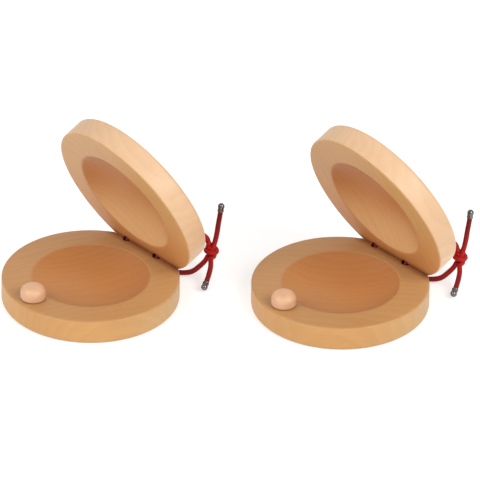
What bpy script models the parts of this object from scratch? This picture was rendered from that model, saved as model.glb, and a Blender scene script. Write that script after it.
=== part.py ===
"""Pair of round wooden finger castanets, modelled open at rest.

Each castanet is two turned beech shells that meet along a straight planed ridge. An elastic
cord laces the shells together through two holes at that ridge, and is knotted outside it with
two short tails, each closed by a crimped metal tip. A small turned knob on the lower shell is
the striker. Metres, +Z up, the pair side by side along X, resting on Z = 0.
"""
import math

import bpy
from mathutils import Euler, Matrix, Vector

MM = 0.001

# Shells
SHELL_RADIUS = 27.5 * MM
SHELL_THICKNESS = 8.0 * MM
BOWL_RADIUS = 18.4 * MM
BOWL_DEPTH = 4.2 * MM
BOWL_FULLNESS = 2.7
INNER_ROUND = 0.6 * MM
OUTER_ROUND = 1.3 * MM
TURN_STEPS = 96

# Ridge and hinge: the shells rock on the ridge, with a hairline gap between them
RIDGE_OFFSET = 22.5 * MM
SEAM_HALF_GAP = 0.2 * MM
OPEN_ANGLE = math.radians(66.8)
HINGE_AZIMUTH = math.radians(42.3)

# Cord holes, as centre and radius, and the channels that sink the cord into the outer faces.
# The near hole takes two passes of the cord, and the far hole one.
NEAR_HOLE = (Vector((23.5, -4.9)) * MM, 1.8 * MM)
FAR_HOLE = (Vector((22.95, 9.0)) * MM, 1.25 * MM)
LOWER_CHANNEL = (Vector((22.65, -4.9)) * MM, Vector((22.95, 9.0)) * MM)
UPPER_CHANNEL = (Vector((24.2, -4.9)) * MM, Vector((22.95, 9.0)) * MM)
NOTCH_END = Vector((31.0, -4.9)) * MM
CHANNEL_DEPTH = 2.15 * MM
CHANNEL_WIDTH = 2.3 * MM

# Striker knob with its peg
KNOB_PLACE = Vector((-22.2, 1.5)) * MM
KNOB_RADIUS = 3.9 * MM
KNOB_HEIGHT = 4.6 * MM
KNOB_ROUND = 2.3 * MM
PEG_RADIUS = 1.6 * MM
PEG_LENGTH = 3.7 * MM
FIT_GAP = 0.3 * MM

# Elastic cord, knot and crimped tips
CORD_RADIUS = 0.7 * MM
KNOT_RADIUS = 2.1 * MM
TIP_RADIUS = 1.2 * MM
TIP_BORE = 0.97 * MM
TIP_LENGTH = 2.9 * MM
TIP_BORE_DEPTH = 2.0 * MM

# Where the centre of each lower shell stands
PLACES = {"left": Vector((-42.4, -2.8, 0.0)) * MM, "right": Vector((34.6, -5.0, 0.0)) * MM}

WOODS = {
    "lower_shell": ((0.66, 0.43, 0.22), 0.38, 0.0),
    "upper_shell": ((0.72, 0.50, 0.28), 0.38, 0.0),
    "striker_knob": ((0.74, 0.47, 0.27), 0.42, 0.0),
    "lacing_cord": ((0.42, 0.02, 0.03), 0.80, 0.0),
    "knot": ((0.50, 0.02, 0.03), 0.80, 0.0),
    "upper_tail": ((0.45, 0.02, 0.03), 0.80, 0.0),
    "lower_tail": ((0.45, 0.02, 0.03), 0.80, 0.0),
    "upper_tip": ((0.80, 0.80, 0.82), 0.15, 1.0),
    "lower_tip": ((0.80, 0.80, 0.82), 0.15, 1.0),
}


def vec(x, y, z):
    return Vector((x, y, z)) * MM


# Cord routes, in a castanet's own axes: +X from its centre through the ridge, +Z up.
# Route points marked closed lie in the upper shell and are given with the shells shut.
RIDGE_Z = SHELL_THICKNESS + SEAM_HALF_GAP
AXIS_POINT = Vector((RIDGE_OFFSET, 0.0, RIDGE_Z))
KNOT_CENTRE = vec(38.2, -13.2, 8.0)
UPPER_STRAND = [vec(37.7, -12.1, 10.55), vec(37.6, -11.6, 11.8), vec(36.3, -10.4, 13.3),
                vec(34.0, -8.3, 13.7), vec(31.8, -6.1, 12.9)]
PASS_ONE_CLOSED = [vec(22.65, -4.9, 16.4), vec(22.65, -4.9, 13.4), vec(22.65, -4.9, 9.9)]
PASS_ONE_LOWER = [vec(22.65, -4.9, 6.6), vec(22.65, -4.9, 3.6), vec(22.65, -4.4, 1.55)]
UNDER_STRETCH = [vec(22.7, -2.7, 1.05), vec(22.8, 2.2, 1.05), vec(22.9, 6.9, 1.05)]
PASS_TWO_LOWER = [vec(22.95, 8.65, 1.6), vec(22.95, 9.1, 3.6), vec(22.95, 9.1, 6.6)]
PASS_TWO_CLOSED = [vec(22.95, 9.1, 9.9), vec(22.95, 9.1, 12.9), vec(22.95, 8.65, 14.8)]
BACK_STRETCH = [vec(23.15, 6.9, 15.35), vec(23.6, 2.2, 15.35), vec(24.0, -2.7, 15.35)]
PASS_THREE_CLOSED = [vec(24.2, -4.4, 14.85), vec(24.2, -4.9, 12.9), vec(24.2, -4.9, 11.0),
                     vec(24.2, -4.9, 9.35)]
PASS_THREE_LOWER = [vec(24.2, -4.9, 6.4), vec(24.2, -4.9, 5.0), vec(24.2, -4.9, 3.2),
                    vec(24.5, -4.9, 1.7)]
LOWER_STRAND = [vec(25.5, -4.9, 1.05), vec(26.6, -4.95, 1.05), vec(28.0, -5.6, 1.05),
                vec(29.9, -8.6, 1.05), vec(32.2, -10.9, 1.6), vec(34.5, -11.9, 3.1),
                vec(36.1, -12.6, 4.7), vec(36.85, -12.85, 5.9)]
UPPER_TAIL = [vec(38.85, -14.0, 10.6), vec(39.3, -14.35, 14.0), vec(39.8, -14.5, 17.5),
              vec(40.3, -14.65, 20.6), vec(40.7, -14.7, 23.4)]
LOWER_TAIL = [vec(36.6, -14.8, 6.25), vec(34.95, -16.5, 5.0), vec(32.7, -18.2, 3.7),
              vec(30.65, -19.45, 2.6), vec(28.7, -20.6, 1.8)]


def clear_scene():
    for obj in list(bpy.data.objects):
        bpy.data.objects.remove(obj, do_unlink=True)


def new_collection(name):
    collection = bpy.data.collections.new(name)
    bpy.context.scene.collection.children.link(collection)
    return collection


def material(name, colour, roughness, metallic):
    mat = bpy.data.materials.new(name)
    mat.use_nodes = True
    shader = mat.node_tree.nodes["Principled BSDF"]
    shader.inputs["Base Color"].default_value = (*colour, 1.0)
    shader.inputs["Roughness"].default_value = roughness
    shader.inputs["Metallic"].default_value = metallic
    mat.diffuse_color = (*colour, 1.0)
    return mat


def arc(cx, cz, radius, start, end, steps):
    """Points of an arc in the XZ plane, angles in degrees from +X."""
    out = []
    for i in range(steps + 1):
        a = math.radians(start + (end - start) * i / steps)
        out.append((cx + radius * math.cos(a), cz + radius * math.sin(a)))
    return out


def turned(name, profile, collection, steps):
    """A turned solid: the profile at +X, top to bottom, swept about Z."""
    mesh = bpy.data.meshes.new(name)
    mesh.from_pydata([(x, 0.0, z) for x, z in profile],
                     [(i, i + 1) for i in range(len(profile) - 1)], [])
    obj = bpy.data.objects.new(name, mesh)
    collection.objects.link(obj)
    screw = obj.modifiers.new("turn", "SCREW")
    screw.axis = "Z"
    screw.steps = screw.render_steps = steps
    screw.use_merge_vertices = True
    screw.merge_threshold = 0.00001
    screw.use_smooth_shade = True
    return obj


def as_cutter(obj, parent, matrix):
    obj.parent = parent
    obj.matrix_local = matrix
    obj.hide_render = True
    obj.display_type = "WIRE"
    return obj


def block(name, centre, size, turn, parent, matrix, collection):
    """A box-shaped cutter, turned about its centre by the given Euler angles."""
    mesh = bpy.data.meshes.new(name)
    corners = [(x, y, z) for x in (-0.5, 0.5) for y in (-0.5, 0.5) for z in (-0.5, 0.5)]
    mesh.from_pydata(corners, [], [(0, 1, 3, 2), (4, 6, 7, 5), (0, 4, 5, 1),
                                   (2, 3, 7, 6), (0, 2, 6, 4), (1, 5, 7, 3)])
    obj = bpy.data.objects.new(name, mesh)
    collection.objects.link(obj)
    scale = Matrix.Diagonal((*size, 1.0))
    place = Matrix.Translation(centre) @ Euler(turn).to_matrix().to_4x4()
    return as_cutter(obj, parent, matrix @ place @ scale)


def channel(name, start, end, parent, matrix, collection):
    """A cutter for a sunk channel in the outer face, between two points in plan."""
    low = -4.0 * MM
    height = CHANNEL_DEPTH - low
    along = end - start
    centre = (start + end) / 2.0
    return block(name, Vector((centre.x, centre.y, low + height / 2.0)),
                 (along.length, CHANNEL_WIDTH, height),
                 (0.0, 0.0, math.atan2(along.y, along.x)), parent, matrix, collection)


def drill(name, centre, radius, low, high, parent, matrix, collection):
    """A round cutter along Z."""
    profile = [(0.0, high), (radius, high), (radius, low), (0.0, low)]
    obj = turned(name, profile, collection, 32)
    return as_cutter(obj, parent, matrix @ Matrix.Translation((*centre, 0.0)))


def shell_profile():
    """Half section of a shell, bowl up: bowl, soft lip, flat rim, wall, outer face."""
    points = []
    for i in range(11):
        share = 0.97 * (i / 10) ** 0.75
        points.append((BOWL_RADIUS * share,
                       SHELL_THICKNESS - BOWL_DEPTH * (1.0 - share ** BOWL_FULLNESS)))
    points.append((BOWL_RADIUS - 0.05 * MM, SHELL_THICKNESS - 0.13 * MM))
    points.append((BOWL_RADIUS + 0.4 * MM, SHELL_THICKNESS))
    points += arc(SHELL_RADIUS - INNER_ROUND, SHELL_THICKNESS - INNER_ROUND, INNER_ROUND,
                  90, 0, 4)
    points += arc(SHELL_RADIUS - OUTER_ROUND, OUTER_ROUND, OUTER_ROUND, 0, -90, 5)
    points.append((0.0, 0.0))
    return points


def make_shell(name, parent, matrix, route, flip, parts, cutters):
    """A turned shell with its planed bevel, cord holes and sunk channel.

    flip is -1 for the upper shell, which is drawn turned over about X, so that its plan is
    mirrored in Y.
    """
    def plan(point):
        return Vector((point.x, flip * point.y))

    shell = turned(name, shell_profile(), parts, TURN_STEPS)
    shell.parent = parent
    shell.matrix_local = matrix
    bevel = OPEN_ANGLE / 2.0
    along = Vector((math.cos(bevel), 0.0, -math.sin(bevel)))
    normal = Vector((math.sin(bevel), 0.0, math.cos(bevel)))
    ridge = Vector((RIDGE_OFFSET, 0.0, SHELL_THICKNESS))
    reach = 20.0 * MM
    tools = [block(f"{name}_bevel_cut", ridge + (along + normal) * reach / 2.0,
                   (reach, 80.0 * MM, reach), (0.0, bevel, 0.0), parent, matrix, cutters)]
    for which, (centre, radius) in (("near", NEAR_HOLE), ("far", FAR_HOLE)):
        tools.append(drill(f"{name}_{which}_hole", plan(centre), radius, -3.0 * MM, 12.0 * MM,
                           parent, matrix, cutters))
    start, end = route
    tools.append(channel(f"{name}_channel", plan(start), plan(end), parent, matrix, cutters))
    if flip > 0:
        tools.append(channel(f"{name}_notch", NEAR_HOLE[0], NOTCH_END, parent, matrix, cutters))
        tools.append(drill(f"{name}_peg_hole", KNOB_PLACE, PEG_RADIUS + FIT_GAP,
                           SHELL_THICKNESS - PEG_LENGTH - FIT_GAP, 12.0 * MM, parent, matrix,
                           cutters))
    for cutter in tools:
        boolean = shell.modifiers.new(cutter.name, "BOOLEAN")
        boolean.operation = "DIFFERENCE"
        boolean.solver = "EXACT"
        boolean.object = cutter
    return shell


def make_knob(name, parent, parts):
    """Turned striker: a low round-cornered button on a peg."""
    head = [(0.0, KNOB_HEIGHT), (1.0 * MM, KNOB_HEIGHT - 0.05 * MM)]
    head += arc(KNOB_RADIUS - KNOB_ROUND, KNOB_HEIGHT - KNOB_ROUND - 0.1 * MM, KNOB_ROUND,
                84, 0, 6)
    head += arc(KNOB_RADIUS - 0.7 * MM, FIT_GAP + 0.7 * MM, 0.7 * MM, -8, -90, 4)
    head += [(PEG_RADIUS, FIT_GAP),
             (PEG_RADIUS, -PEG_LENGTH + 0.2 * MM), (PEG_RADIUS - 0.2 * MM, -PEG_LENGTH),
             (0.0, -PEG_LENGTH)]
    knob = turned(name, head, parts, 40)
    knob.parent = parent
    knob.location = (*KNOB_PLACE, SHELL_THICKNESS)
    return knob


def opened(point):
    """Carry a point of the shut upper shell to where it lies with the shells open."""
    turn = Euler((0.0, OPEN_ANGLE, 0.0)).to_matrix()
    return turn @ (point - AXIS_POINT) + AXIS_POINT


def smooth(points, spacing):
    """Evenly spaced points of a Catmull-Rom curve through the given points."""
    ends = [2 * points[0] - points[1]] + list(points) + [2 * points[-1] - points[-2]]
    fine = []
    for i in range(1, len(ends) - 2):
        a, b, c, d = ends[i - 1:i + 3]
        for k in range(24):
            t = k / 24
            fine.append(0.5 * ((2 * b) + (c - a) * t + (2 * a - 5 * b + 4 * c - d) * t * t
                               + (3 * b - a - 3 * c + d) * t * t * t))
    fine.append(points[-1].copy())
    total = sum((q - p).length for p, q in zip(fine, fine[1:]))
    count = max(2, round(total / spacing))
    out, walked, want = [fine[0]], 0.0, total / count
    for p, q in zip(fine, fine[1:]):
        step = (q - p).length
        while walked + step >= want and len(out) < count:
            out.append(p.lerp(q, (want - walked) / step))
            want += total / count
        walked += step
    out.append(fine[-1])
    return out


def make_tube(name, points, radius, parent, parts, spacing):
    curve = bpy.data.curves.new(name, "CURVE")
    curve.dimensions = "3D"
    curve.bevel_depth = radius
    curve.bevel_resolution = 2
    curve.use_fill_caps = True
    curve.render_resolution_u = 0
    route = smooth(points, spacing)
    spline = curve.splines.new("POLY")
    spline.points.add(len(route) - 1)
    for slot, point in zip(spline.points, route):
        slot.co = (*point, 1.0)
    obj = bpy.data.objects.new(name, curve)
    parts.objects.link(obj)
    obj.parent = parent
    return obj


def make_knot(name, parent, parts):
    """The knot's closed body, slightly flattened."""
    profile = arc(0.0, 0.0, KNOT_RADIUS, 90, -90, 12)
    profile[0], profile[-1] = (0.0, KNOT_RADIUS), (0.0, -KNOT_RADIUS)
    knot = turned(name, profile, parts, 24)
    knot.parent = parent
    knot.location = KNOT_CENTRE
    return knot


def make_tip(name, tail, parent, parts):
    """A crimped cap over the end of a tail."""
    end = tail[-1]
    outward = (tail[-1] - tail[-2]).normalized()
    profile = [(0.0, TIP_BORE_DEPTH), (TIP_BORE, TIP_BORE_DEPTH), (TIP_BORE, 0.0),
               (TIP_RADIUS, 0.0)]
    profile += [(TIP_RADIUS, TIP_LENGTH - 0.5 * MM),
                (TIP_RADIUS - 0.15 * MM, TIP_LENGTH - 0.15 * MM),
                (TIP_RADIUS - 0.5 * MM, TIP_LENGTH), (0.0, TIP_LENGTH)]
    mesh_profile = [(x, -z) for x, z in profile]
    tip = turned(name, mesh_profile, parts, 24)
    tip.parent = parent
    tip.rotation_euler = (-outward).to_track_quat("Z", "Y").to_euler()
    tip.location = end - outward * (TIP_BORE_DEPTH - FIT_GAP)
    return tip


def make_castanet(side, place, parts, cutters):
    base = bpy.data.objects.new(f"{side}_base", None)
    parts.objects.link(base)
    base.location = place
    base.rotation_euler = (0.0, 0.0, HINGE_AZIMUTH)

    hinge = bpy.data.objects.new(f"{side}_ridge_axis", None)
    parts.objects.link(hinge)
    hinge.parent = base
    hinge.location = AXIS_POINT
    hinge.rotation_euler = (0.0, OPEN_ANGLE, 0.0)

    # The upper shell is the lower one turned over about the ridge direction
    flipped = Matrix.Translation((-RIDGE_OFFSET, 0.0, RIDGE_Z)) @ Matrix.Rotation(math.pi, 4, "X")
    made = {
        "lower_shell": make_shell(f"{side}_lower_shell", base, Matrix.Identity(4),
                                  LOWER_CHANNEL, 1, parts, cutters),
        "upper_shell": make_shell(f"{side}_upper_shell", hinge, flipped, UPPER_CHANNEL, -1,
                                  parts, cutters),
        "striker_knob": make_knob(f"{side}_striker_knob", base, parts),
        "knot": make_knot(f"{side}_knot", base, parts),
    }
    route = (UPPER_STRAND + [opened(p) for p in PASS_ONE_CLOSED] + PASS_ONE_LOWER
             + UNDER_STRETCH + PASS_TWO_LOWER + [opened(p) for p in PASS_TWO_CLOSED]
             + [opened(p) for p in BACK_STRETCH] + [opened(p) for p in PASS_THREE_CLOSED]
             + PASS_THREE_LOWER + LOWER_STRAND)
    made["lacing_cord"] = make_tube(f"{side}_lacing_cord", route, CORD_RADIUS, base, parts,
                                    1.3 * MM)
    for end, tail in (("upper", UPPER_TAIL), ("lower", LOWER_TAIL)):
        made[f"{end}_tail"] = make_tube(f"{side}_{end}_tail", tail, CORD_RADIUS, base, parts,
                                        2.2 * MM)
        made[f"{end}_tip"] = make_tip(f"{side}_{end}_tip", tail, base, parts)
    for kind, obj in made.items():
        colour, roughness, metallic = WOODS[kind]
        obj.data.materials.append(material(f"{side}_{kind}", colour, roughness, metallic))


def main():
    clear_scene()
    parts = new_collection("castanet_pair")
    cutters = new_collection("cutters")
    for side, place in PLACES.items():
        make_castanet(side, place, parts, cutters)
    bpy.context.view_layer.update()


main()
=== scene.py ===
"""Looks for a pair of round wooden finger castanets: turned shells, knobs, braided elastic."""

import math

import bmesh
import bpy
import numpy as np
from mathutils import Matrix, Vector
from mathutils.noise import noise


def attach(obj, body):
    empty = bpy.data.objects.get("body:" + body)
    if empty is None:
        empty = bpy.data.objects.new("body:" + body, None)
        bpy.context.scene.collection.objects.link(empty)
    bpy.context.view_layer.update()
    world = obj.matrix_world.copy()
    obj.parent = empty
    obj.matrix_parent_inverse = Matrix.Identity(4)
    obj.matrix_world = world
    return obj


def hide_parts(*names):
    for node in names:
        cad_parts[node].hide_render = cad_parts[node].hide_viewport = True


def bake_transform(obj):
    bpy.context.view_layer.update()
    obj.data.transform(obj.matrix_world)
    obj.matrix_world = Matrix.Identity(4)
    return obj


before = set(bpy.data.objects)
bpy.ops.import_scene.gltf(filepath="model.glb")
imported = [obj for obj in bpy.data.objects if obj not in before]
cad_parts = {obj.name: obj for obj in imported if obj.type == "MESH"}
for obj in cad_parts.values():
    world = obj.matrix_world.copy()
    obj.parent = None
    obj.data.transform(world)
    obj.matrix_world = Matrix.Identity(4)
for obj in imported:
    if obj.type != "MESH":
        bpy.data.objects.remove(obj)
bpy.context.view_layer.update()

MM = 0.001

# All sizes are in millimetres unless they say otherwise. Shells, as the solids have them:
SHELL_RADIUS = 27.5
SHELL_THICKNESS = 8.0
BOWL_RADIUS = 18.4
BOWL_DEPTH = 4.2
BOWL_FULLNESS = 2.7
INNER_ROUND = 0.6
OUTER_ROUND = 1.3

RIDGE_OFFSET = 22.5
SEAM_HALF_GAP = 0.2
RIDGE_Z = SHELL_THICKNESS + SEAM_HALF_GAP
OPEN_ANGLE = math.radians(66.8)
HINGE_AZIMUTH = math.radians(42.3)

# The shown shells are turned in finer steps than the solids
TURN_STEPS = 288

# Cord holes, as centre and radius. The near one takes two passes of the cord, and its radius
# is 0.05 less than the solids' hole has.
NEAR_HOLE = (Vector((23.5, -4.9)), 1.75)
FAR_HOLE = (Vector((22.95, 9.0)), 1.25)
LOWER_CHANNEL = (Vector((22.65, -4.9)), Vector((22.95, 9.0)))
UPPER_CHANNEL = (Vector((24.2, -4.9)), Vector((22.95, 9.0)))
NOTCH_END = Vector((31.0, -4.9))
# The shown shells stand this much nearer the bevel's true plane than the solids do
RIDGE_CLOSER = 0.11
# Finishing of the shown shells: the eased edges of the bevel and the holes, and the channels
ARRIS = 0.16
HOLE_FLARE = 0.12
CHANNEL_RADIUS = 1.08
CHANNEL_CENTRE = 0.95
CUTTER_REACH = 3.0

KNOB_PLACE = Vector((-22.2, 1.5))
KNOB_RADIUS = 3.9
KNOB_HEIGHT = 4.6
KNOB_ROUND = 2.3
PEG_RADIUS = 1.6
PEG_LENGTH = 3.7
PEG_SIDE_GAP = 0.15
PEG_END_GAP = 0.2
KNOB_GAP = 0.02

# Thicker than the solids' cord, which has to keep clear of its holes
CORD_RADIUS = 0.83

# Where the centre of each lower shell stands
PLACES = {"left": (-42.4, -2.8, 0.0), "right": (34.6, -5.0, 0.0)}

# Wood colours, partly painted light and shade. Each part of a shell goes from a colour away
# from the ridge to one near it, between the two given places along X; these changes stand
# partly for light and shade as they fall on the open castanet.
LOWER_TONES = {
    "wall": ((0.460, 0.240, 0.080), (0.445, 0.278, 0.122), -20.0, 20.0),
    # Painted light: the lower rim lightens towards the ridge, where the light falls on it
    "rim": ((0.395, 0.203, 0.075), (0.450, 0.245, 0.098), -20.0, 20.0),
    "hollow": ((0.410, 0.185, 0.063), (0.405, 0.165, 0.049), -16.0, 16.0),
}
UPPER_TONES = {
    # Painted light: the upper wall is paler, and palest near the ridge, partly for the light and
    # sheen on it
    "wall": ((0.560, 0.365, 0.215), (0.700, 0.505, 0.315), 8.0, 21.0),
    "rim": ((0.450, 0.250, 0.095), (0.500, 0.225, 0.074), -8.0, 18.0),
    # Painted shade and light: the upper hollow goes from dark away from the ridge to light near it
    "hollow": ((0.410, 0.162, 0.050), (0.600, 0.350, 0.160), -5.0, 16.0),
}
KNOB_TONES = {"wall": ((0.550, 0.325, 0.190), (0.550, 0.325, 0.190), -1.0, 1.0)}
# Painted shade in the seam near the ridge, a warm brown
PAINTED_SEAM_SHADE = (0.220, 0.055, 0.014)
# Painted shade in and round the cord holes
PAINTED_HOLE_SHADE = (0.130, 0.024, 0.010)
# Cord colours: the yarn's red, and a dark red painted as shade between the yarns and away from the
# knot
CLOTH_BRIGHT = (0.56, 0.008, 0.005)
CLOTH_SHADED = (0.10, 0.002, 0.003)
METAL_COLOUR = (0.17, 0.155, 0.165, 1.0)

# Stage: the floor's own reflection and glow, the world's strength, and each light as its power
# in watts, its size and its place in metres
FLOOR_REFLECT = 0.62
FLOOR_GLOW = 0.45
WORLD_STRENGTH = 0.78
LIGHTS = {"key": (6.0, (0.5, 0.5), (0.60, -0.50, 0.66)),
          "fill": (5.1, (0.6, 0.6), (-0.66, -0.50, 0.66))}
LIGHT_AIM = (0.0, 0.0, 0.02)

# Camera, in metres and radians, except the sensor's width
SENSOR_WIDTH = 36.0
CAMERA_ELEVATION = math.radians(31.1)
CAMERA_ROLL = math.radians(0.65)
CAMERA_DISTANCE = 3.0
CAMERA_AIM = Vector((0.00352, 0.0, 0.01967))
FIELD_WIDTH = 0.1478

# The knot: two strands that twist round each other, and a leaning turn that binds them
KNOT = Vector((38.2, -13.2, 8.0))
TWIST_RADIUS = 0.80
TWIST_TURNS = 0.55
TWIST_LOW, TWIST_HIGH = -2.0, 2.3
WRAP_START = 20.0
WRAP_TURNS = 1.45
WRAP_RADIUS = 1.62
WRAP_RISE = 1.7
WRAP_LEAN = math.radians(-15.0)
WRAP_LEAN_AXIS = Vector((-0.673, -0.740, 0.0))

# Route of the elastic in a castanet's own axes, +X from its centre through the ridge.
# Points marked CLOSED lie in the upper shell and are given with the shells shut.
ROUTE_STEP = 0.125
UPPER_TAIL = [(40.7, -14.7, 23.4), (40.3, -14.65, 20.6), (39.8, -14.5, 17.5),
              (39.3, -14.35, 14.0), (38.85, -14.0, 11.0)]
STRAND_FROM_KNOT_LOW = [(36.85, -12.85, 5.9), (36.1, -12.6, 4.7), (34.5, -11.9, 3.1),
                        (32.2, -10.9, 1.6), (29.9, -8.6, 1.05)]
NOTCH = [(28.0, -5.6, 1.05), (26.6, -4.95, 1.05), (25.5, -4.9, 1.05)]
PASS_THREE_LOWER = [(24.5, -4.9, 1.7), (24.2, -4.9, 3.2), (24.2, -4.9, 5.0), (24.2, -4.9, 6.4)]
PASS_THREE_CLOSED = [(24.2, -4.9, 9.35), (24.2, -4.9, 11.0), (24.2, -4.9, 12.9),
                     (24.2, -4.4, 14.85)]
BACK_CLOSED = [(24.0, -2.7, 15.35), (23.6, 2.2, 15.35), (23.15, 6.9, 15.35)]
PASS_TWO_CLOSED = [(22.95, 8.65, 14.8), (22.95, 9.1, 12.9), (22.95, 9.1, 9.9)]
PASS_TWO_LOWER = [(22.95, 9.1, 6.6), (22.95, 9.1, 3.6), (22.95, 8.65, 1.6)]
UNDER = [(22.9, 6.9, 1.05), (22.8, 2.2, 1.05), (22.7, -2.7, 1.05)]
PASS_ONE_LOWER = [(22.65, -4.4, 1.55), (22.65, -4.9, 3.6), (22.65, -4.9, 6.6)]
PASS_ONE_CLOSED = [(22.65, -4.9, 9.9), (22.65, -4.9, 13.4), (22.65, -4.9, 16.4)]
STRAND_TO_KNOT_HIGH = [(31.8, -6.1, 12.9), (34.0, -8.3, 13.7), (36.3, -10.4, 13.3),
                       (37.6, -11.6, 11.8), (37.75, -12.1, 10.7)]
LOWER_TAIL = [(36.6, -14.8, 6.25), (34.95, -16.5, 5.0), (32.7, -18.2, 3.7),
              (30.65, -19.45, 2.6), (28.7, -20.6, 1.8)]


# ---------------------------------------------------------------- places

def place_of(side):
    x, y, z = PLACES[side]
    return Matrix.Translation((x, y, z)) @ Matrix.Rotation(HINGE_AZIMUTH, 4, "Z")


def opening():
    """Carries the shut upper shell to where it rests, open."""
    axis = Matrix.Translation((RIDGE_OFFSET, 0.0, RIDGE_Z))
    return axis @ Matrix.Rotation(OPEN_ANGLE, 4, "Y") @ axis.inverted()


def turned_over():
    """Carries a shell drawn bowl up to the shut upper shell."""
    return Matrix.Translation((0.0, 0.0, 2.0 * RIDGE_Z)) @ Matrix.Rotation(math.pi, 4, "X")


def in_metres(matrix):
    return Matrix.Diagonal((MM, MM, MM, 1.0)) @ matrix


# ---------------------------------------------------------------- mesh helpers

def new_object(name, mesh):
    obj = bpy.data.objects.new(name, mesh)
    bpy.context.scene.collection.objects.link(obj)
    return obj


def mesh_from(name, points, faces, smooth=True):
    mesh = bpy.data.meshes.new(name)
    mesh.from_pydata([tuple(p) for p in points], [], faces)
    if smooth:
        mesh.shade_smooth()
    mesh.update()
    return mesh


def arc(cx, cz, radius, start, end, steps):
    """Points of an arc in the XZ plane, angles in degrees from +X."""
    angles = [math.radians(start + (end - start) * i / steps) for i in range(steps + 1)]
    return [(cx + radius * math.cos(a), cz + radius * math.sin(a)) for a in angles]


def turned_mesh(name, profile, steps, shape=None):
    """Sweeps a top-to-bottom profile about Z; its ends on the axis close it."""
    inner = [p for p in profile if p[0] > 1e-6]
    count = len(inner)
    points, faces = [], []
    for j in range(steps):
        a = 2.0 * math.pi * j / steps
        for x, z in inner:
            r, h = (x, z) if shape is None else shape(x, z, a)
            points.append((r * math.cos(a), r * math.sin(a), h))
    for j in range(steps):
        k = (j + 1) % steps
        for i in range(count - 1):
            faces.append((j * count + i, j * count + i + 1, k * count + i + 1, k * count + i))
    top, bottom = len(points), len(points) + 1
    points += [(0.0, 0.0, profile[0][1]), (0.0, 0.0, profile[-1][1])]
    for j in range(steps):
        k = (j + 1) % steps
        faces.append((top, j * count, k * count))
        faces.append((bottom, k * count + count - 1, j * count + count - 1))
    return mesh_from(name, points, faces)


def box_mesh(name, low, high):
    x0, y0, z0 = low
    x1, y1, z1 = high
    points = [(x, y, z) for x in (x0, x1) for y in (y0, y1) for z in (z0, z1)]
    faces = [(0, 1, 3, 2), (4, 6, 7, 5), (0, 4, 5, 1), (2, 3, 7, 6), (0, 2, 6, 4), (1, 5, 7, 3)]
    return mesh_from(name, points, faces, smooth=False)


def trough_mesh(name, start, end):
    """A round-topped bar between two points in plan, for routing a sunk channel."""
    start, end = Vector((*start, 0.0)), Vector((*end, 0.0))
    along = (end - start).normalized()
    across = Vector((-along.y, along.x, 0.0))
    section = arc(0.0, CHANNEL_CENTRE, CHANNEL_RADIUS, 0, 180, 20)
    section += [(-CHANNEL_RADIUS, -CUTTER_REACH), (CHANNEL_RADIUS, -CUTTER_REACH)]
    points = []
    for end_point in (start, end):
        points += [end_point + across * x + Vector((0.0, 0.0, z)) for x, z in section]
    n = len(section)
    faces = [(i, (i + 1) % n, n + (i + 1) % n, n + i) for i in range(n)]
    faces += [tuple(range(n - 1, -1, -1)), tuple(range(n, 2 * n))]
    mesh = mesh_from(name, points, faces, smooth=False)
    tidy = bmesh.new()
    tidy.from_mesh(mesh)
    bmesh.ops.recalc_face_normals(tidy, faces=tidy.faces)
    tidy.to_mesh(mesh)
    tidy.free()
    return mesh


def carve(obj, meshes):
    """Cuts each mesh out of obj and leaves obj as a plain mesh."""
    tools = []
    for mesh in meshes:
        tool = new_object(mesh.name, mesh)
        boolean = obj.modifiers.new(mesh.name, "BOOLEAN")
        boolean.operation, boolean.solver, boolean.object = "DIFFERENCE", "EXACT", tool
        tools.append(tool)
    bpy.context.view_layer.update()
    depsgraph = bpy.context.evaluated_depsgraph_get()
    carved = bpy.data.meshes.new_from_object(obj.evaluated_get(depsgraph))
    obj.modifiers.clear()
    obj.data = carved
    for tool in tools:
        bpy.data.objects.remove(tool, do_unlink=True)


def put_down(obj, matrix):
    """Moves a mesh drawn in millimetres to where it rests, and keeps its own places as data."""
    mesh = obj.data
    places = np.empty(3 * len(mesh.vertices), np.float32)
    mesh.vertices.foreach_get("co", places)
    mesh.attributes.new("turned", "FLOAT_VECTOR", "POINT").data.foreach_set("vector", places)
    mesh.transform(in_metres(matrix))


# ---------------------------------------------------------------- shells and knobs

def shell_profile():
    """Half section of a shell, bowl up: bowl, soft lip, flat rim, wall, outer face."""
    points = []
    for i in range(49):
        share = 0.962 * (i / 48) ** 0.8
        points.append((BOWL_RADIUS * share,
                       SHELL_THICKNESS - BOWL_DEPTH * (1.0 - share ** BOWL_FULLNESS)))
    start = points[-1]
    end = (BOWL_RADIUS + 0.75, SHELL_THICKNESS)
    corner = (BOWL_RADIUS + 0.02, SHELL_THICKNESS)
    for i in range(1, 9):
        t = i / 8
        points.append(tuple((1 - t) ** 2 * a + 2 * t * (1 - t) * b + t * t * c
                            for a, b, c in zip(start, corner, end)))
    points += [(BOWL_RADIUS + 0.75 + 7.0 * i / 8, SHELL_THICKNESS) for i in range(1, 8)]
    points += arc(SHELL_RADIUS - INNER_ROUND, SHELL_THICKNESS - INNER_ROUND, INNER_ROUND,
                  90, 0, 6)
    points += [(SHELL_RADIUS, z) for z in (6.3, 5.2, 4.1, 3.0, 2.1)]
    points += arc(SHELL_RADIUS - OUTER_ROUND, OUTER_ROUND, OUTER_ROUND, 0, -90, 8)
    points += [(x, 0.0) for x in (24.5, 21.0, 16.0, 11.0, 6.0, 2.0, 0.0)]
    return points


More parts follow.
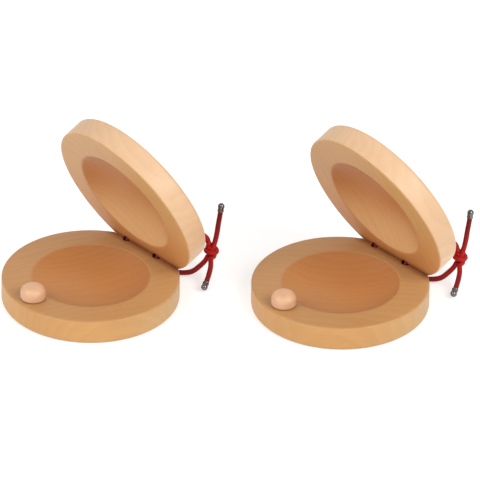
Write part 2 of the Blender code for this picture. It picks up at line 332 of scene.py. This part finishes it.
def plane_ridge(mesh):
    """Planes the bevel beyond the ridge and eases its edges."""
    bevel = OPEN_ANGLE / 2.0
    normal = Vector((math.sin(bevel), 0.0, math.cos(bevel)))
    ridge = Vector((RIDGE_OFFSET, 0.0, SHELL_THICKNESS))
    work = bmesh.new()
    work.from_mesh(mesh)
    everything = work.verts[:] + work.edges[:] + work.faces[:]
    cut = bmesh.ops.bisect_plane(work, geom=everything, plane_no=normal, clear_outer=True,
                                 plane_co=ridge + normal * RIDGE_CLOSER, dist=1e-5)
    rim = [e for e in cut["geom_cut"] if isinstance(e, bmesh.types.BMEdge)]
    bmesh.ops.holes_fill(work, edges=rim, sides=0)
    bmesh.ops.bevel(work, geom=[e for e in rim if e.is_valid], offset=ARRIS, segments=3,
                    profile=0.5, affect="EDGES", clamp_overlap=True)
    bmesh.ops.recalc_face_normals(work, faces=work.faces)
    work.to_mesh(mesh)
    work.free()


def drill_mesh(name, centre, radius, low, high, flare):
    """A drill with its cutting edge eased at both mouths."""
    wide = radius + flare + 0.4
    profile = [(0.0, high + CUTTER_REACH), (wide, high + CUTTER_REACH), (wide, high + 0.15)]
    profile += arc(radius + flare, high - flare, flare, 90, 180, 5)
    profile += arc(radius + flare, low + flare, flare, 180, 270, 5)
    profile += [(wide, low - 0.15), (wide, low - CUTTER_REACH), (0.0, low - CUTTER_REACH)]
    mesh = turned_mesh(name, profile, 48)
    mesh.transform(Matrix.Translation((*centre, 0.0)))
    return mesh


def make_shell(side, kind, channel, flip, matrix, body, wood):
    """A turned shell, drawn bowl up in millimetres, then put where it rests.

    flip is -1 for the upper shell, which is drawn turned over about X.
    """
    def plan(point):
        return Vector((point.x, flip * point.y))

    name = f"{side}_{kind}_turned"
    mesh = turned_mesh(name, shell_profile(), TURN_STEPS)
    plane_ridge(mesh)
    shell = new_object(name, mesh)
    tools = [drill_mesh(f"{name}_drill_{i}", plan(centre), radius, 0.0, SHELL_THICKNESS,
                        HOLE_FLARE)
             for i, (centre, radius) in enumerate((NEAR_HOLE, FAR_HOLE))]
    start, end = channel
    tools.append(trough_mesh(f"{name}_channel", plan(start), plan(end)))
    if flip > 0:
        tools.append(trough_mesh(f"{name}_notch", NEAR_HOLE[0], NOTCH_END))
        width = PEG_RADIUS + PEG_SIDE_GAP
        top, bottom = SHELL_THICKNESS + 4.0, SHELL_THICKNESS - PEG_LENGTH - PEG_END_GAP
        drill = turned_mesh(f"{name}_peg_drill",
                            [(0.0, top), (width, top), (width, bottom), (0.0, bottom)], 32)
        drill.transform(Matrix.Translation((*KNOB_PLACE, 0.0)))
        tools.append(drill)
    carve(shell, tools)
    shell.data.name = name
    shell.data.shade_smooth()
    shell.data.set_sharp_from_angle(angle=math.radians(38.0))
    shell.data.materials.clear()
    shell.data.materials.append(wood)
    put_down(shell, matrix)
    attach(shell, body)
    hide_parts(f"{side}_{kind}")


def make_knob(side, matrix, wood):
    """The striker: a low round-cornered button on its peg."""
    top = KNOB_HEIGHT - KNOB_GAP
    profile = [(0.0, top), (0.5, top - 0.01), (1.0, top - 0.04)]
    profile += arc(KNOB_RADIUS - KNOB_ROUND, top - KNOB_ROUND - 0.1, KNOB_ROUND, 84, 0, 24)
    profile += [(KNOB_RADIUS, 1.9), (KNOB_RADIUS, 1.2)]
    profile += arc(KNOB_RADIUS - 0.8, 0.82, 0.8, -4, -84, 10)
    profile += [(2.9, 0.0), (PEG_RADIUS, 0.0),
                (PEG_RADIUS, -PEG_LENGTH + 0.2), (PEG_RADIUS - 0.2, -PEG_LENGTH),
                (0.0, -PEG_LENGTH)]
    name = f"{side}_striker_knob_turned"
    knob = new_object(name, turned_mesh(name, profile, 96))
    knob.data.materials.append(wood)
    put_down(knob, matrix @ Matrix.Translation((*KNOB_PLACE, SHELL_THICKNESS + KNOB_GAP)))
    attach(knob, f"{side}_lower")
    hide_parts(f"{side}_striker_knob")


# ---------------------------------------------------------------- elastic cord

def smooth_path(points, step):
    """Evenly spaced points of a centripetal Catmull-Rom curve through the given points."""
    pts = np.array(points, float)
    pts = np.vstack([2 * pts[0] - pts[1], pts, 2 * pts[-1] - pts[-2]])
    fine = []
    for i in range(1, len(pts) - 2):
        p0, p1, p2, p3 = pts[i - 1:i + 3]
        t1 = max(np.linalg.norm(p1 - p0), 1e-6) ** 0.5
        t2 = t1 + max(np.linalg.norm(p2 - p1), 1e-6) ** 0.5
        t3 = t2 + max(np.linalg.norm(p3 - p2), 1e-6) ** 0.5
        t = np.linspace(t1, t2, 60, endpoint=False)[:, None]
        a1 = (t1 - t) / t1 * p0 + t / t1 * p1
        a2 = (t2 - t) / (t2 - t1) * p1 + (t - t1) / (t2 - t1) * p2
        a3 = (t3 - t) / (t3 - t2) * p2 + (t - t2) / (t3 - t2) * p3
        b1 = (t2 - t) / t2 * a1 + t / t2 * a2
        b2 = (t3 - t) / (t3 - t1) * a2 + (t - t1) / (t3 - t1) * a3
        fine.append((t2 - t) / (t2 - t1) * b1 + (t - t1) / (t2 - t1) * b2)
    fine = np.vstack(fine + [pts[-2:-1]])
    walked = np.concatenate([[0.0], np.cumsum(np.linalg.norm(np.diff(fine, axis=0), axis=1))])
    wanted = np.linspace(0.0, walked[-1], max(3, int(round(walked[-1] / step)) + 1))
    return np.stack([np.interp(wanted, walked, fine[:, k]) for k in range(3)], axis=1)


def frames_along(points):
    """Twist-free side and up vectors along a path."""
    heading = np.gradient(points, axis=0)
    heading /= np.linalg.norm(heading, axis=1)[:, None]
    side = np.cross(heading[0], (0.0, 0.0, 1.0))
    if np.linalg.norm(side) < 0.1:
        side = np.cross(heading[0], (0.0, 1.0, 0.0))
    sides = [side / np.linalg.norm(side)]
    for h in heading[1:]:
        side = sides[-1] - h * (sides[-1] @ h)
        sides.append(side / np.linalg.norm(side))
    sides = np.array(sides)
    return sides, np.cross(heading, sides)


def braid_height(angle, along, yarns=7, pitch=0.86):
    """Height, 0 to 1, of a plain braid's surface at an angle and a distance along the cord."""
    u = yarns * angle / (2.0 * math.pi) + along / pitch
    v = yarns * angle / (2.0 * math.pi) - along / pitch
    over = (np.floor(u) + np.floor(v)) % 2 < 1
    fu, fv = u - np.floor(u) - 0.5, v - np.floor(v) - 0.5
    across, run = np.where(over, fu, fv), np.where(over, fv, fu)
    return np.sqrt(np.clip(1.0 - (2.0 * across) ** 2, 0.0, 1.0)) * (1.0 - 1.9 * run ** 2)


def cord_mesh(name, points, sides, ups, offset, knot_distance, radius=CORD_RADIUS, around=42):
    """A braided round cord along a path, closed at both ends.

    It holds its weave as data, and how bright it is: painted light at the knot, and painted shade
    along the strands and lacing away from it.
    """
    count = len(points)
    steps = np.linalg.norm(np.diff(points, axis=0), axis=1)
    along = offset + np.concatenate([[0.0], np.cumsum(steps)])
    angles = np.arange(around) * 2.0 * math.pi / around
    weave = braid_height(angles[None, :], along[:, None])
    wobble = np.array([noise((0.0, 0.35 * s, 7.7)) for s in along])
    r = radius * (0.88 + 0.12 * weave) * (1.0 + 0.035 * wobble[:, None])
    ring = (points[:, None, :] + r[..., None] * (np.cos(angles)[None, :, None] * sides[:, None, :]
            + np.sin(angles)[None, :, None] * ups[:, None, :]))
    verts = np.vstack([ring.reshape(-1, 3), points[:1], points[-1:]])
    faces = []
    for i in range(count - 1):
        a, b = i * around, (i + 1) * around
        faces += [(a + j, a + (j + 1) % around, b + (j + 1) % around, b + j)
                  for j in range(around)]
    first, last = count * around, count * around + 1
    end = (count - 1) * around
    faces += [(first, (j + 1) % around, j) for j in range(around)]
    faces += [(last, end + j, end + (j + 1) % around) for j in range(around)]
    mesh = mesh_from(name, verts, faces)
    # Painted light and shade: brightest at the knot, darker away from it along the cord and in the
    # holes
    bright = 0.16 + 0.84 * np.exp(-(knot_distance / 8.0) ** 2)
    for label, values, ends in (("weave", weave.ravel(), (0.5, 0.5)),
                                ("bright", np.repeat(bright, around), bright[[0, -1]])):
        data = mesh.attributes.new(label, "FLOAT", "POINT")
        data.data.foreach_set("value", np.concatenate([values, ends]).astype(np.float32))
    return mesh


def knot_twist(start_angle):
    """One of the two strands that cross each other inside the knot."""
    out = []
    for i in range(9):
        t = i / 8
        a = math.radians(start_angle) + TWIST_TURNS * 2.0 * math.pi * t
        out.append(tuple(KNOT + Vector((TWIST_RADIUS * math.cos(a), TWIST_RADIUS * math.sin(a),
                                        TWIST_LOW + (TWIST_HIGH - TWIST_LOW) * t))))
    return out


def knot_wrap():
    """The turn of cord that binds the crossing, diving into it at both ends."""
    out = []
    lean = Matrix.Rotation(WRAP_LEAN, 4, WRAP_LEAN_AXIS)
    for i in range(31):
        t = i / 30
        a = math.radians(WRAP_START) + t * 2.0 * math.pi * WRAP_TURNS
        fade = min(1.0, 6.0 * min(t, 1.0 - t) + 0.12)
        reach = WRAP_RADIUS * fade ** 0.6
        out.append(KNOT + lean @ Vector((reach * math.cos(a), reach * math.sin(a),
                                         WRAP_RISE * (t - 0.5))))
    return out


def opened(points):
    matrix = opening()
    return [tuple(matrix @ Vector(p)) for p in points]


def make_cord(side, place, cloth, metal):
    """One length of elastic: tail, knot, strand, lacing, strand, knot, tail."""
    knot_up = knot_twist(120.0)
    knot_down = knot_twist(300.0)
    route = (UPPER_TAIL + knot_up[::-1] + STRAND_FROM_KNOT_LOW + NOTCH + PASS_THREE_LOWER
             + opened(PASS_THREE_CLOSED) + opened(BACK_CLOSED) + opened(PASS_TWO_CLOSED)
             + PASS_TWO_LOWER + UNDER + PASS_ONE_LOWER + opened(PASS_ONE_CLOSED)
             + STRAND_TO_KNOT_HIGH + knot_down[::-1] + LOWER_TAIL)
    local = smooth_path(route, ROUTE_STEP)
    sides, ups = frames_along(local)
    notch_end = int(np.argmin(np.linalg.norm(local - np.array(NOTCH[0]), axis=1)))
    mouth = np.array(opened(PASS_ONE_CLOSED)[-1])
    mouth_end = int(np.argmin(np.linalg.norm(local - mouth, axis=1)))
    spacing = float(np.linalg.norm(local[1] - local[0]))

    knot_distance = np.linalg.norm(local - np.array(KNOT), axis=1)
    turn = np.array(place.to_3x3())
    world = (local @ turn.T + np.array(place.translation)) * MM
    sides, ups = sides @ turn.T, ups @ turn.T

    def piece(name, first, last, reverse=False):
        span = slice(first, last + 1)
        mesh = cord_mesh(name, world[span] / MM, sides[span], ups[span], first * spacing,
                         knot_distance[span])
        mesh.transform(Matrix.Scale(MM, 4))
        obj = new_object(name, mesh)
        obj.data.materials.append(cloth)
        path = world[span][::8]
        return obj, (path[::-1] if reverse else path), (last - first) * spacing * MM

    lacing, _, _ = piece(f"{side}_lacing_elastic", notch_end, mouth_end)
    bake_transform(lacing)
    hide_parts(f"{side}_lacing_cord")

    low_end, low_path, low_length = piece(f"{side}_lower_strand_elastic", 0, notch_end, True)
    high_end, high_path, high_length = piece(f"{side}_upper_strand_elastic", mouth_end,
                                             len(local) - 1)
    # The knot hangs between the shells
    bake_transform(low_end)
    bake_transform(high_end)
    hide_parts(f"{side}_upper_tail")
    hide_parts(f"{side}_lower_tail")

    wrap_local = smooth_path(knot_wrap(), ROUTE_STEP)
    wrap_sides, wrap_ups = frames_along(wrap_local)
    wrap_world = wrap_local @ turn.T + np.array(place.translation)
    wrap_mesh = cord_mesh(f"{side}_knot_wrap", wrap_world, wrap_sides @ turn.T,
                          wrap_ups @ turn.T, 0.0,
                          np.linalg.norm(wrap_local - np.array(KNOT), axis=1),
                          CORD_RADIUS * 0.93)
    wrap_mesh.transform(Matrix.Scale(MM, 4))
    wrap = new_object(f"{side}_knot_wrap", wrap_mesh)
    wrap.data.materials.append(cloth)
    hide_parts(f"{side}_knot")
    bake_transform(wrap)

    top_tip = make_tip(side, "upper", local[0], local[0] - local[6], place, metal)
    low_tip = make_tip(side, "lower", local[-1], local[-1] - local[-7], place, metal)
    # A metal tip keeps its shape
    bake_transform(top_tip)
    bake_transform(low_tip)


def make_tip(side, which, end, outward, place, metal):
    """A crimped metal cap: rolled mouth, a row of dents, beaded end."""
    profile = [(0.0, -0.7), (0.74, -0.7), (0.80, -1.0), (0.84, -1.5), (0.90, -1.62),
               (0.98, -1.64), (1.04, -1.56), (1.04, -1.44), (1.0, -1.34), (0.98, -1.26)]
    profile += [(0.97, -1.18 + 0.075 * i) for i in range(11)]
    profile += arc(0.0, 0.06, 1.06, -25, 84, 18) + [(0.0, 1.12)]

    def dented(x, z, a):
        if x < 0.9 or z < -1.25 or z > -0.4:
            return x, z
        lobe = max(0.0, math.cos(3.0 * a)) ** 2
        return x - 0.16 * math.exp(-((z + 0.82) / 0.24) ** 2) * lobe, z

    name = f"{side}_{which}_tip_crimp"
    mesh = turned_mesh(name, profile[::-1], 64, dented)
    toward = Vector(outward).normalized()
    spin = toward.to_track_quat("Z", "Y").to_matrix().to_4x4()
    mesh.transform(in_metres(place @ Matrix.Translation(Vector(end)) @ spin))
    tip = new_object(name, mesh)
    tip.data.materials.append(metal)
    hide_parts(f"{side}_{which}_tip")
    return tip


# ---------------------------------------------------------------- materials

class Nodes:
    """Small helper that builds a node tree."""

    def __init__(self, name):
        self.material = bpy.data.materials.new(name)
        self.material.use_nodes = True
        self.tree = self.material.node_tree
        self.shader = self.tree.nodes["Principled BSDF"]

    def add(self, kind, **values):
        node = self.tree.nodes.new(kind)
        for key, value in values.items():
            if key in node.inputs:
                node.inputs[key].default_value = value
            else:
                setattr(node, key, value)
        return node

    def link(self, source, target):
        self.tree.links.new(source, target)

    def math(self, operation, a, b=0.0, clamp=False):
        node = self.add("ShaderNodeMath", operation=operation, use_clamp=clamp)
        for socket, value in zip(node.inputs, (a, b)):
            if isinstance(value, (int, float)):
                socket.default_value = value
            else:
                self.link(value, socket)
        return node.outputs[0]

    def mix(self, factor, a, b, blend="MIX"):
        node = self.add("ShaderNodeMix", data_type="RGBA", blend_type=blend)
        for socket, value in zip((node.inputs[0], node.inputs[6], node.inputs[7]),
                                 (factor, a, b)):
            if isinstance(value, (int, float)):
                socket.default_value = value
            elif isinstance(value, tuple):
                socket.default_value = (*value, 1.0)
            else:
                self.link(value, socket)
        return node.outputs[2]

    def scaled(self, source, scale, turn=(0.0, 0.0, 0.0), shift=(0.0, 0.0, 0.0)):
        node = self.add("ShaderNodeMapping", Scale=scale, Rotation=turn, Location=shift)
        self.link(source, node.inputs[0])
        return node.outputs[0]

    def noise(self, vector, scale, detail=4.0, roughness=0.5):
        node = self.add("ShaderNodeTexNoise", Scale=scale, Detail=detail, Roughness=roughness)
        self.link(vector, node.inputs["Vector"])
        return node.outputs[0]

    def ramp(self, source, low, high, out_low=0.0, out_high=1.0):
        node = self.add("ShaderNodeMapRange", interpolation_type="SMOOTHSTEP")
        self.link(source, node.inputs[0])
        for socket, value in zip(node.inputs[1:5], (low, high, out_low, out_high)):
            socket.default_value = value
        return node.outputs[0]


def wood_material(name, tones, grain_turn, seed, flip=0):
    """Satin beech: faint growth bands, short dark flecks, lathe rings; its tones are partly painted
    light and shade.

    flip is 1 or -1 for a shell, as make_shell takes it, and 0 for a knob.
    """
    n = Nodes(name)
    where = n.add("ShaderNodeAttribute", attribute_name="turned").outputs["Vector"]
    split = n.add("ShaderNodeSeparateXYZ")
    n.link(where, split.inputs[0])
    x, y, z = split.outputs
    radius = n.math("SQRT", n.math("ADD", n.math("MULTIPLY", x, x), n.math("MULTIPLY", y, y)))
    grain = n.scaled(where, (1.0, 1.0, 1.0), (0.08, 0.05, grain_turn), seed)
    warped = n.noise(n.scaled(grain, (0.012, 0.05, 0.05)), 1.0, 3.0)
    turned = n.add("ShaderNodeSeparateXYZ")
    n.link(grain, turned.inputs[0])
    layer = n.math("ADD", turned.outputs[1], n.math("MULTIPLY", turned.outputs[2], 0.35))
    layer = n.math("ADD", layer, n.math("MULTIPLY", warped, 16.0))
    year = n.math("FRACT", n.math("MULTIPLY", layer, 0.34))
    band = n.math("SUBTRACT", n.ramp(year, 0.0, 0.85), n.ramp(year, 0.86, 1.0), clamp=True)
    fine = n.noise(n.scaled(grain, (0.10, 3.2, 3.2)), 1.0, 5.0, 0.6)
    cloud = n.noise(n.scaled(grain, (0.03, 0.06, 0.06)), 1.0, 3.0)
    fleck = n.ramp(n.noise(n.scaled(grain, (0.55, 5.5, 5.5)), 1.0, 2.0), 0.665, 0.73)
    shade = n.math("ADD", n.math("MULTIPLY", band, 0.14), n.math("MULTIPLY", cloud, 0.62))
    shade = n.math("ADD", shade, n.math("MULTIPLY", n.math("SUBTRACT", fine, 0.5), 0.45))
    shade = n.math("ADD", shade, 0.08, clamp=True)

    # Each tone goes along X from its away colour to its near one, partly as painted light and shade
    def tone(part):
        away, near, start, end = tones[part]
        return n.mix(n.ramp(x, start, end), away, near)

    colour = tone("wall")
    if flip:
        facing = n.ramp(z, SHELL_THICKNESS - 0.6, SHELL_THICKNESS - 0.1)
        colour = n.mix(facing, colour, tone("rim"))
        # The hollow's darker, redder tone is partly painted shade and warm reflection in the bowl
        inside = n.ramp(radius, BOWL_RADIUS + 0.15, BOWL_RADIUS - 0.35)
        inside = n.math("MULTIPLY", inside, n.ramp(z, 2.2, 3.2))
        colour = n.mix(inside, colour, tone("hollow"))
        # Painted shade: a warm brown band on the rim and bevel near the ridge, where the shells
        # meet
        painted_seam_shade = n.math("MULTIPLY", n.ramp(x, RIDGE_OFFSET - 2.8, RIDGE_OFFSET + 0.1),
                        n.ramp(z, 5.0, 7.0))
        colour = n.mix(n.math("MULTIPLY", painted_seam_shade, 0.70), colour, PAINTED_SEAM_SHADE)
        # Painted shade: the walls and mouths of the cord holes go dark
        for centre, hole_radius in (NEAR_HOLE, FAR_HOLE):
            across = n.math("POWER", n.math("SUBTRACT", x, centre.x), 2.0)
            along = n.math("POWER", n.math("SUBTRACT", y, flip * centre.y), 2.0)
            away = n.math("SQRT", n.math("ADD", across, along))
            painted_hole_shade = n.ramp(away, hole_radius + 0.3, hole_radius + 0.02)
            colour = n.mix(n.math("MULTIPLY", painted_hole_shade, 0.85), colour, PAINTED_HOLE_SHADE)
    colour = n.mix(1.0, colour, n.mix(shade, (1.16, 1.17, 1.20), (0.86, 0.80, 0.72)), "MULTIPLY")
    fleck_colour = tuple(0.5 * c for c in tones["wall"][0])
    colour = n.mix(n.math("MULTIPLY", fleck, 0.22), colour, fleck_colour)
    n.link(colour, n.shader.inputs["Base Color"])
    n.link(n.ramp(fine, 0.3, 0.7, 0.42, 0.52), n.shader.inputs["Roughness"])
    n.shader.inputs["Specular IOR Level"].default_value = 0.36
    n.shader.inputs["Coat Weight"].default_value = 0.10
    n.shader.inputs["Coat Roughness"].default_value = 0.30
    height = n.math("SUBTRACT", n.math("MULTIPLY", fine, 0.5), n.math("MULTIPLY", fleck, 0.6))
    if flip:
        rings = n.math("MULTIPLY", n.math("SINE", n.math("MULTIPLY", radius, 9.5)),
                       n.noise(n.scaled(where, (0.12, 0.12, 0.12)), 1.0))
        height = n.math("ADD", height, n.math("MULTIPLY", rings, 0.22))
    bump = n.add("ShaderNodeBump", Strength=0.35, Distance=0.00004)
    n.link(height, bump.inputs["Height"])
    n.link(bump.outputs[0], n.shader.inputs["Normal"])
    return n.material


def cloth_material(name, bright, shaded):
    """Braided elastic: painted shade between the yarns, faint fuzz."""
    n = Nodes(name)
    weave = n.add("ShaderNodeAttribute", attribute_name="weave").outputs["Fac"]
    where = n.add("ShaderNodeTexCoord").outputs["Object"]
    blotch = n.noise(where, 900.0, 3.0)
    lift = n.math("ADD", n.math("MULTIPLY", weave, 0.85), n.math("MULTIPLY", blotch, 0.3))
    # Scaled by the cord's painted light share, high at the knot
    lift = n.math("MULTIPLY", n.math("SUBTRACT", lift, 0.15, clamp=True),
                  n.add("ShaderNodeAttribute", attribute_name="bright").outputs["Fac"])
    # Painted shade: where the weave is low, and away from the knot, the cord takes the shaded
    # colour
    colour = n.mix(lift, shaded, bright)
    n.link(colour, n.shader.inputs["Base Color"])
    n.shader.inputs["Roughness"].default_value = 0.55
    n.shader.inputs["Specular IOR Level"].default_value = 0.2
    n.shader.inputs["Sheen Weight"].default_value = 0.03
    n.shader.inputs["Sheen Roughness"].default_value = 0.4
    fibre = n.noise(where, 9000.0, 2.0)
    bump = n.add("ShaderNodeBump", Strength=0.5, Distance=0.00003)
    n.link(fibre, bump.inputs["Height"])
    n.link(bump.outputs[0], n.shader.inputs["Normal"])
    return n.material


def metal_material(name):
    """Dark nickel crimp with fine handling scratches."""
    n = Nodes(name)
    where = n.add("ShaderNodeTexCoord").outputs["Object"]
    scuff = n.noise(where, 2600.0, 4.0, 0.7)
    n.link(n.ramp(scuff, 0.35, 0.75, 0.05, 0.15), n.shader.inputs["Roughness"])
    n.shader.inputs["Base Color"].default_value = METAL_COLOUR
    n.shader.inputs["Metallic"].default_value = 1.0
    return n.material


def glowing_white(name, reflect, glow):
    """A pale surface lit a little from within, so that shadows on it stay faint."""
    n = Nodes(name)
    n.shader.inputs["Base Color"].default_value = (reflect, reflect, reflect, 1.0)
    n.shader.inputs["Roughness"].default_value = 0.8
    n.shader.inputs["Emission Color"].default_value = (1.0, 1.0, 1.0, 1.0)
    n.shader.inputs["Emission Strength"].default_value = glow
    return n.material


# ---------------------------------------------------------------- stage

def make_camera():
    data = bpy.data.cameras.new("camera")
    camera = bpy.data.objects.new("camera", data)
    bpy.context.scene.collection.objects.link(camera)
    data.sensor_width = SENSOR_WIDTH
    data.lens = SENSOR_WIDTH * CAMERA_DISTANCE / FIELD_WIDTH
    data.clip_start, data.clip_end = 0.05, 20.0
    forward = Vector((0.0, math.cos(CAMERA_ELEVATION), -math.sin(CAMERA_ELEVATION)))
    right = Vector((1.0, 0.0, 0.0))
    up = right.cross(forward)
    turn = Matrix.Rotation(-CAMERA_ROLL, 3, forward)
    right, up = turn @ right, turn @ up
    basis = Matrix((right, up, -forward)).transposed().to_4x4()
    camera.matrix_world = Matrix.Translation(CAMERA_AIM - forward * CAMERA_DISTANCE) @ basis
    bpy.context.scene.camera = camera


def area_light(name, power, size, place):
    data = bpy.data.lights.new(name, "AREA")
    data.energy = power
    data.shape, data.size, data.size_y = "RECTANGLE", size[0], size[1]
    light = bpy.data.objects.new(name, data)
    bpy.context.scene.collection.objects.link(light)
    light.location = place
    aim = Vector(LIGHT_AIM) - Vector(place)
    light.rotation_euler = aim.to_track_quat("-Z", "Y").to_euler()


def make_stage():
    floor = new_object("floor", box_mesh("floor", (-3.0, -3.0, -0.05), (3.0, 3.0, 0.0)))
    floor.data.materials.append(glowing_white("floor_white", FLOOR_REFLECT, FLOOR_GLOW))
    world = bpy.data.worlds.new("studio")
    bpy.context.scene.world = world
    world.use_nodes = True
    world.node_tree.nodes["Background"].inputs[0].default_value = (1.0, 1.0, 1.0, 1.0)
    world.node_tree.nodes["Background"].inputs[1].default_value = WORLD_STRENGTH
    for name, light in LIGHTS.items():
        area_light(name, *light)
    bpy.context.scene.view_settings.view_transform = "Standard"
    bpy.context.scene.view_settings.look = "None"


def main():
    make_camera()
    make_stage()
    cloth = cloth_material("braided_elastic", CLOTH_BRIGHT, CLOTH_SHADED)
    metal = metal_material("plated_crimp")
    for index, side in enumerate(PLACES):
        seed = (37.0 * index, 11.0 * index, 5.0 * index)
        lower_wood = wood_material(f"{side}_lower_wood", LOWER_TONES, 0.35 + 0.5 * index, seed, 1)
        upper_wood = wood_material(f"{side}_upper_wood", UPPER_TONES, 2.1 + 0.7 * index,
                                   (seed[0] + 19.0, seed[1] + 3.0, 0.0), -1)
        knob_wood = wood_material(f"{side}_knob_wood", KNOB_TONES, 1.1 + index,
                                  (seed[0] + 7.0, 2.0, 4.0))
        place = place_of(side)
        make_cord(side, place, cloth, metal)
        make_shell(side, "lower_shell", LOWER_CHANNEL, 1, place, f"{side}_lower", lower_wood)
        make_shell(side, "upper_shell", UPPER_CHANNEL, -1, place @ opening() @ turned_over(),
                   f"{side}_upper", upper_wood)
        make_knob(side, place, knob_wood)


main()
